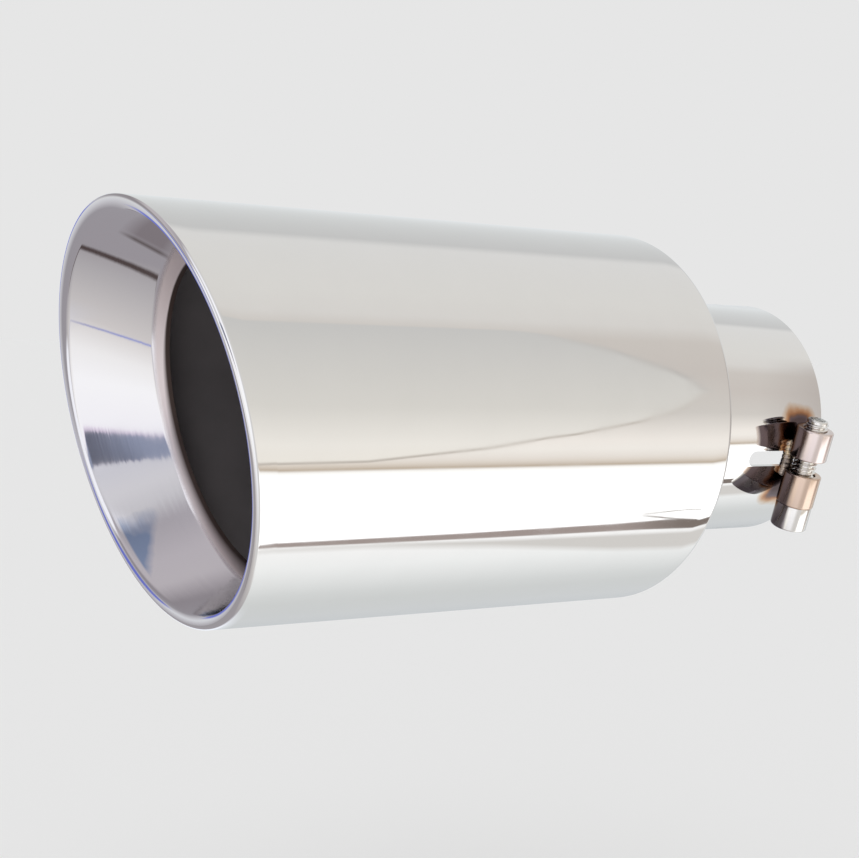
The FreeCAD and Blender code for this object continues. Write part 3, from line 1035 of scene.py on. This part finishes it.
class TIP_OT_clamp_bosses(bpy.types.Operator):
    """Model the two welded clamp bosses"""

    bl_idname = "exhaust_tip.clamp_bosses"
    bl_label = "Clamp bosses"

    def execute(self, context):
        sizes, finish = context.scene.tip_sizes, context.scene.tip_finish
        for node, side, length, room in (
            ("upper_clamp_boss", -1, sizes.upper_boss, 0.05 * MM),
            ("lower_clamp_boss", 1, sizes.lower_boss, 0.3 * MM),
        ):
            piece = boss_piece(node, side, length, sizes.screw_radius + room, sizes)
            piece.name = node.replace("clamp_boss", "welded_boss")
            turned, welded = material_once(boss_steel, finish, sizes), material_once(weld_metal, finish)
            finish_piece(piece, [node], [turned, welded])
            for face in piece.data.polygons[piece["turned_faces"] :]:
                face.material_index = 1
        return {"FINISHED"}


class TIP_OT_clamp_screw(bpy.types.Operator):
    """Model the socket-head screw that draws the bosses together"""

    bl_idname = "exhaust_tip.clamp_screw"
    bl_label = "Clamp screw"

    def execute(self, context):
        sizes, finish = context.scene.tip_sizes, context.scene.tip_finish
        piece = screw_piece(sizes)
        finish_piece(piece, ["clamp_screw"], [material_once(plated_screw, finish, sizes)])
        return {"FINISHED"}


# The room by how far round the axis its light comes from, in degrees: 0 is level on the clamp's side, 90 is
# overhead, -90 is below. Each colour is what the polished steel shows. First the half that the body shows,
# towards the rear: pale walls, one long soft light low on the camera's side, and a thin warm edge over it.
WHITE = "#ffffff"
REAR_BANDS = (
    (-180, "#a9abab"),
    (-140, "#c4c6c6"),
    (-118, "#cacccb"),
    (-109, "#d1d3d2"),
    (-86, "#edeeed"),
    (-70.5, "#f7f6f5"),
    (-69.8, WHITE),
    (-32, WHITE),
    (-26.4, "#f8f6f2"),
    (-25.6, "#b8a896"),
    (-23.2, "#dbd1c5"),
    (-20.5, "#e7e0d8"),
    (-16, "#f0ebe4"),
    (-11, "#efe9e2"),
    (6, "#cec9c3"),
    (30, "#c7c0ba"),
    (50, "#c9c3bd"),
    (60, "#d5d2ce"),
    (74, "#d7d5d1"),
    (112, "#d6d5d3"),
    (118, "#c2c2c1"),
    (160, "#ced0cf"),
    (180, "#cccdcd"),
)
# Then the half in front of the mouth, which the mouth's band shows.
FRONT_BANDS = (
    (-180, "#d4d5d7"),
    (-169, "#bdbbbe"),
    (-158, "#989498"),
    (-121, "#9a9599"),
    (-117, "#a5a0a2"),
    (-110, "#aeaaab"),
    (-80, "#cfcac7"),
    (-75, "#dedad7"),
    (-60, "#f0eeec"),
    (-36, "#f9f8f8"),
    (30, "#f3f1f5"),
    (46, "#cbcad0"),
    (66, "#d0ced1"),
    (80, "#c6c4c7"),
    (92, "#a49fa4"),
    (112, "#b6b0b4"),
    (126, "#b8b2b5"),
    (140, "#8c868a"),
    (158, "#949094"),
    (169, "#bdbbbe"),
    (180, "#d4d5d7"),
)
# What the lip's round shows between the two.
LIP_BANDS = (
    (-90, "#c4c1c3"),
    (-45, "#eeeef2"),
    (-20, "#f8f8fb"),
    (50, "#f6f6fb"),
    (90, "#e2e2ea"),
)
# And the warm card that stands level with the body, from its foot up.
CARD_COLOURS = (
    (-24, "#ebe6dd"),
    (-12, "#ebe7e0"),
    (8, "#d6d3cd"),
    (56, "#c4c3c1"),
)
CARD_TOP = 53.6
CARD_LINE = "#bfb7ae"
FOLD_LINE = "#b9b5b1"
GAP_COLOUR = "#a0948f"
GAP_FAR_COLOUR = "#7d736d"
SHADE_COLOUR = "#d0cdc9"
THIN_COLOUR = "#b3ada7"
WEDGE_COLOUR = "#99908a"
REAR_DARK = "#b0a8a3"       # the unlit end of the room, level with the tip and straight behind it
SLOT_DARK = "#4c4140"       # a dark slot in the wall in front, high up
LAMP_NEAR = "#b4b1c0"       # a bluish lamp low in front, which turns bluer further ahead
LAMP_FAR = "#9299cd"
PANEL_RIM = "#dccfe0"       # the light rim of a dark blue-grey panel in front, level with the mouth
PANEL_NEAR = "#5d5f6d"
PANEL_FAR = "#8c93a8"
LIP_REAR = "#cfcdcc"        # what the lip shows where it meets the shell
AHEAD_WHITE = "#f4f4f8"     # the pale wall straight in front of the mouth
LOW_WHITE = "#eceef6"       # a pale strip low on the far side of the room, which the lip shows
EDGE_BLUE = "#6a72c0"       # a narrow blue light far behind the tip: it draws a thin line along the lip
LONG_LIGHT = 1.35           # how much brighter than plain white the long light is
REACH_END = 0.98            # the edges below go on level from here

# Edges in the room. Each point says how far towards the rear it is seen, and its degrees round the axis.
# The card's lower edge rises towards the rear, and its rear edge is curved.
CARD_LOWER = (
    (0.45, -22.9), (0.62, -21.9), (0.73, -15.4), (0.787, -9.9), (0.817, -7.8), (0.883, -0.6), (0.916, 4.7),
    (0.93, 7.8), (0.945, 12.6), (0.952, 16.0), (0.98, 26.0),
)
CARD_FOLD = (
    (0.45, 60.0), (0.62, 60.0), (0.7, 58.0), (0.73, 55.0), (0.787, 51.6), (0.85, 44.0), (0.916, 32.2),
    (0.938, 27.0), (0.952, 21.0), (0.98, 12.0),
)
# The dark gap under the long light, two thin lines over its far end, and the grey shade under it.
GAP_UPPER = (
    (0.45, -67.2), (0.7, -66.1), (0.85, -64.5), (0.916, -62.8), (0.93, -63.0), (0.952, -64.2), (0.98, -65.0),
)
GAP_LOWER = ((0.45, -70.4), (0.73, -71.2), (0.883, -70.8), (0.93, -71.4), (0.98, -71.4))
THIN_UPPER = ((0.85, -58.5), (0.883, -58.3), (0.916, -56.9), (0.938, -56.3), (0.952, -57.2), (0.98, -57.9))
THIN_LOWER = ((0.85, -60.0), (0.883, -59.9), (0.916, -58.1), (0.938, -57.3), (0.952, -58.0), (0.98, -58.6))
WEDGE_UPPER = ((0.85, -58.8), (0.883, -58.9), (0.916, -62.2), (0.93, -63.2), (0.98, -63.2))
WEDGE_LOWER = ((0.85, -60.6), (0.883, -60.8), (0.916, -63.8), (0.93, -64.2), (0.98, -64.2))
SHADE_UPPER = ((0.45, -70.0), (0.62, -70.0), (0.757, -72.0), (0.98, -72.6))
SHADE_LOWER = ((0.45, -74.5), (0.62, -75.6), (0.73, -80.0), (0.85, -88.0), (0.916, -90.0), (0.98, -90.0))


def build_room(studio, steel):
    """The world: a plain backdrop to the camera, and to the metal the pale room round it."""
    world = bpy.data.worlds.new("pale_room")
    bpy.context.scene.world = world
    world.use_nodes = True
    tree = world.node_tree
    tree.nodes.clear()

    def seen(hex_colour, boost=1.0):
        """The light that the polished steel shows as this colour."""
        return tuple(boost * c / s for c, s in zip(linear(hex_colour)[:3], steel[:3])) + (1.0,)

    def ramp_over(value, low, high, stops):
        """Colours over a range of a value."""
        step = add_node(tree, "MapRange", span(low, high), {"Value": value})
        ramp = add_node(tree, "ValToRGB", links={"Fac": step})
        lights = [(at, seen(tone, LONG_LIGHT if tone == WHITE else 1)) for at, tone in stops]
        set_ramp(ramp, [((at - low) / (high - low), light) for at, light in lights])
        return ramp

    def mixed(factor, first, second):
        """The second colour where the factor is 1. A colour is a tuple or comes from a node."""
        links = {"Factor": factor}
        values = {}
        for socket, source in (("A", first), ("B", second)):
            (values if isinstance(source, tuple) else links)[socket] = source
        return add_node(tree, "Mix", values, links, data_type="RGBA")

    def soft_step(value, off, on):
        """0 up to one limit, 1 from the other."""
        return add_node(tree, "MapRange", span(off, on), {"Value": value})

    def all_of(*masks):
        """The product of masks."""
        product = masks[0]
        for mask in masks[1:]:
            product = add_node(tree, "Math", links={0: product, 1: mask}, operation="MULTIPLY")
        return product

    def window(value, off, on, on_still, off_again):
        """1 between the two middle limits, 0 outside the outer ones."""
        return all_of(soft_step(value, off, on), soft_step(value, off_again, on_still))

    direction = add_node(tree, "TexCoord").outputs["Generated"]
    parts = add_node(tree, "SeparateXYZ", links={"Vector": direction}).outputs
    toward = add_node(tree, "Math", {1: -1}, {0: parts["Y"]}, operation="MULTIPLY")
    round_axis = add_node(tree, "Math", links={0: parts["Z"], 1: toward}, operation="ARCTAN2")
    degrees = add_node(tree, "Math", links={0: round_axis}, operation="DEGREES")
    turned = add_node(tree, "Math", links={0: degrees}, operation="ABSOLUTE")
    square = add_node(tree, "VectorMath", {1: (0, 1, 1)}, {0: direction}, operation="MULTIPLY")
    across = add_node(tree, "VectorMath", links={0: square}, operation="LENGTH")
    # How far towards the rear a place is seen, for each step away from the axis.
    rearward = add_node(tree, "Math", links={0: parts["X"], 1: across}, operation="DIVIDE")
    reach = add_node(tree, "Math", {1: REACH_END}, {0: rearward}, operation="MINIMUM")

    def over(edge):
        """How many degrees a place lies over an edge."""
        curve = add_node(tree, "FloatCurve", {"Factor": 1.0}, {"Value": reach})
        points = curve.mapping.curves[0].points
        while len(points) < len(edge):
            points.new(0.5, 0.5)
        for point, (along, height) in zip(points, edge):
            point.location = (along, (height + 90) / 180)
            point.handle_type = "VECTOR"
        curve.mapping.update()
        height = add_node(tree, "MapRange", span(0, 1, -90, 90), {"Value": curve})
        return add_node(tree, "Math", links={0: degrees, 1: height}, operation="SUBTRACT")

    def between_edges(lower, upper, soft_lower, soft_upper):
        """1 between two such edges."""
        return all_of(soft_step(over(lower), 0, soft_lower), soft_step(over(upper), 0, -soft_upper))

    def slanted(slope):
        """Degrees round the axis, for edges that slant by so many of them for each step forward."""
        return add_node(tree, "Math", {1: slope}, {0: rearward, 2: degrees}, operation="MULTIPLY_ADD")

    rear = ramp_over(degrees, -180, 180, REAR_BANDS)
    rear = mixed(between_edges(SHADE_LOWER, SHADE_UPPER, 5, 2.5), rear, seen(SHADE_COLOUR))
    gap_colour = mixed(soft_step(rearward, 0.86, 0.92), seen(GAP_COLOUR), seen(GAP_FAR_COLOUR))
    rear = mixed(between_edges(GAP_LOWER, GAP_UPPER, 0.8, 1.0), rear, gap_colour)
    far_end = window(rearward, 0.88, 0.888, 0.955, 0.965)
    rear = mixed(all_of(between_edges(THIN_LOWER, THIN_UPPER, 0.3, 0.3), far_end), rear, seen(THIN_COLOUR))
    far_end = window(rearward, 0.88, 0.888, 0.925, 0.935)
    rear = mixed(all_of(between_edges(WEDGE_LOWER, WEDGE_UPPER, 0.4, 0.4), far_end), rear, seen(WEDGE_COLOUR))

    over_card = over(CARD_LOWER)
    over_fold = over(CARD_FOLD)
    under_top = all_of(soft_step(degrees, CARD_TOP + 0.5, CARD_TOP - 0.5), soft_step(rearward, 0.96, 0.955))
    on_card = all_of(soft_step(over_card, 0, 0.5), soft_step(over_fold, 0.3, -0.3), under_top)
    rear = mixed(on_card, rear, ramp_over(degrees, -24, 56, CARD_COLOURS))
    rear = mixed(all_of(window(over_card, -0.2, 0.3, 0.8, 1.8), under_top), rear, seen(CARD_LINE))
    fold_line = all_of(window(over_fold, -3.0, -0.3, 0.2, 0.8), soft_step(rearward, 0.76, 0.93), under_top)
    rear = mixed(fold_line, rear, seen(FOLD_LINE))
    unlit = all_of(soft_step(rearward, 1.3, 1.8), soft_step(turned, 75, 60))
    rear = mixed(unlit, rear, seen(REAR_DARK))

    front = ramp_over(degrees, -180, 180, FRONT_BANDS)
    slot = window(slanted(10), -127.0, -125.8, -124.7, -123.4)
    front = mixed(all_of(slot, window(rearward, -1.3, -1.1, -0.5, -0.4)), front, seen(SLOT_DARK))
    lamp = all_of(window(slanted(-3.2), -72.7, -72.1, -71.3, -70.7), soft_step(rearward, -0.9, -1.0))
    front = mixed(lamp, front, mixed(soft_step(rearward, -1.2, -1.8), seen(LAMP_NEAR), seen(LAMP_FAR)))
    panel_top = slanted(7.7)
    below_foot = soft_step(slanted(7), 28.4, 26.6)
    far_ahead = soft_step(rearward, -1.2, -1.5)
    panel_rim = all_of(soft_step(panel_top, -11, -8), below_foot, far_ahead)
    front = mixed(panel_rim, front, seen(PANEL_RIM))
    panel_colour = mixed(soft_step(rearward, -2.0, -3.0), seen(PANEL_NEAR), seen(PANEL_FAR))
    front = mixed(all_of(soft_step(panel_top, -6.4, -4.4), below_foot, far_ahead), front, panel_colour)
    lip_colour = ramp_over(degrees, -90, 90, LIP_BANDS)
    lip_colour = mixed(soft_step(rearward, -0.5, -0.2), lip_colour, seen(LIP_REAR))
    on_lip = all_of(soft_step(rearward, -1.4, -1.15), soft_step(turned, 90, 80))
    front = mixed(on_lip, front, lip_colour)
    ahead = all_of(soft_step(rearward, -1.9, -2.3), soft_step(turned, 85, 100))
    front = mixed(ahead, front, seen(AHEAD_WHITE))

    # The front's edge with the rear lies further back below than above.
    front_above, front_below = soft_step(rearward, 0.22, 0.13), soft_step(rearward, 0.43, 0.38)
    in_front = mixed(soft_step(degrees, -80, -100), front_above, front_below)
    room = mixed(in_front, rear, front)
    low_ahead = all_of(soft_step(degrees, -115, -145), window(rearward, 0.15, 0.22, 0.46, 0.5))
    room = mixed(low_ahead, room, seen(LOW_WHITE))
    beside = add_node(tree, "Math", {1: 0.48}, {0: rearward}, operation="ADD")
    beside = add_node(tree, "Math", links={0: beside}, operation="ABSOLUTE")
    blue = all_of(soft_step(turned, 168, 171), window(rearward, -1.4, -1.2, 0.38, 0.42))
    room = mixed(all_of(blue, soft_step(beside, 0.18, 0.28)), room, seen(EDGE_BLUE))
    is_camera = add_node(tree, "LightPath").outputs["Is Camera Ray"]
    shown = mixed(is_camera, room, tuple(studio.backdrop))
    background = add_node(tree, "Background", {"Strength": 1}, {"Color": shown})
    add_node(tree, "OutputWorld", links={"Surface": background})


class TIP_OT_studio(bpy.types.Operator):
    """Set up the floor, the room's light and the camera"""

    bl_idname = "exhaust_tip.studio"
    bl_label = "Studio"

    def execute(self, context):
        scene = context.scene
        studio = scene.tip_studio
        scene.view_settings.view_transform = "Standard"
        build_room(studio, scene.tip_finish.steel)

        clear_selection()
        bpy.ops.mesh.primitive_plane_add(size=60, location=(0, 0, studio.floor_height))
        floor = context.object
        floor.name = "studio_floor"
        material, tree, shader = new_material("matt_pale_floor")
        steady = {"Roughness": 1, "Specular IOR Level": 0}
        colours = {"Base Color": studio.floor_colour, "Emission Color": studio.floor_lift}
        is_camera = add_node(tree, "LightPath").outputs["Is Camera Ray"]
        set_inputs(shader, {**steady, **colours}, {"Emission Strength": is_camera})
        floor.data.materials.append(material)
        floor.visible_glossy = False
        floor.visible_shadow = False

        slope = (math.radians(38), 0, math.radians(-35))
        bpy.ops.object.light_add(type="SUN", location=(-0.6, -0.8, 1.2), rotation=slope)
        lamp = context.object
        lamp.name = "soft_key"
        lamp.data.energy = 0.6
        lamp.data.angle = math.radians(40)
        lamp.visible_glossy = False

        bpy.ops.object.camera_add(
            location=(-0.346314, -0.348032, 0.019417),
            rotation=(math.radians(86.892), math.radians(-1.887), math.radians(-33.946)),
        )
        camera = context.object
        camera.name = "photo_camera"
        camera.data.lens = studio.lens
        camera.data.sensor_width = 36
        camera.data.clip_start = 0.01
        camera.data.clip_end = 200
        scene.camera = camera
        return {"FINISHED"}


PIECE_OPERATORS = (
    TIP_OT_outer_shell,
    TIP_OT_mouth_ring,
    TIP_OT_rear_cap,
    TIP_OT_inlet_neck,
    TIP_OT_neck_weld,
    TIP_OT_clamp_bosses,
    TIP_OT_clamp_screw,
    TIP_OT_studio,
)


class TIP_PT_panel(bpy.types.Panel):
    """Lists the sizes, the finishes and the operators of the exhaust tip."""

    bl_idname = "TIP_PT_panel"
    bl_label = "Exhaust tip"
    bl_space_type = "VIEW_3D"
    bl_region_type = "UI"
    bl_category = "Exhaust tip"

    def draw(self, context):
        layout = self.layout
        for group in (context.scene.tip_sizes, context.scene.tip_finish, context.scene.tip_studio):
            box = layout.box()
            for name in group.__annotations__:
                box.prop(group, name)
        for operator in PIECE_OPERATORS:
            layout.operator(operator.bl_idname)


CLASSES = (TipSizes, TipFinish, StudioLook, *PIECE_OPERATORS, TIP_PT_panel)


def register():
    for cls in CLASSES:
        bpy.utils.register_class(cls)
    bpy.types.Scene.tip_sizes = PointerProperty(type=TipSizes)
    bpy.types.Scene.tip_finish = PointerProperty(type=TipFinish)
    bpy.types.Scene.tip_studio = PointerProperty(type=StudioLook)


def unregister():
    del bpy.types.Scene.tip_studio
    del bpy.types.Scene.tip_finish
    del bpy.types.Scene.tip_sizes
    for cls in reversed(CLASSES):
        bpy.utils.unregister_class(cls)


def main():
    register()
    for operator in PIECE_OPERATORS:
        group, name = operator.bl_idname.split(".")
        getattr(getattr(bpy.ops, group), name)()
    clear_selection()


if __name__ == "__main__":
    main()
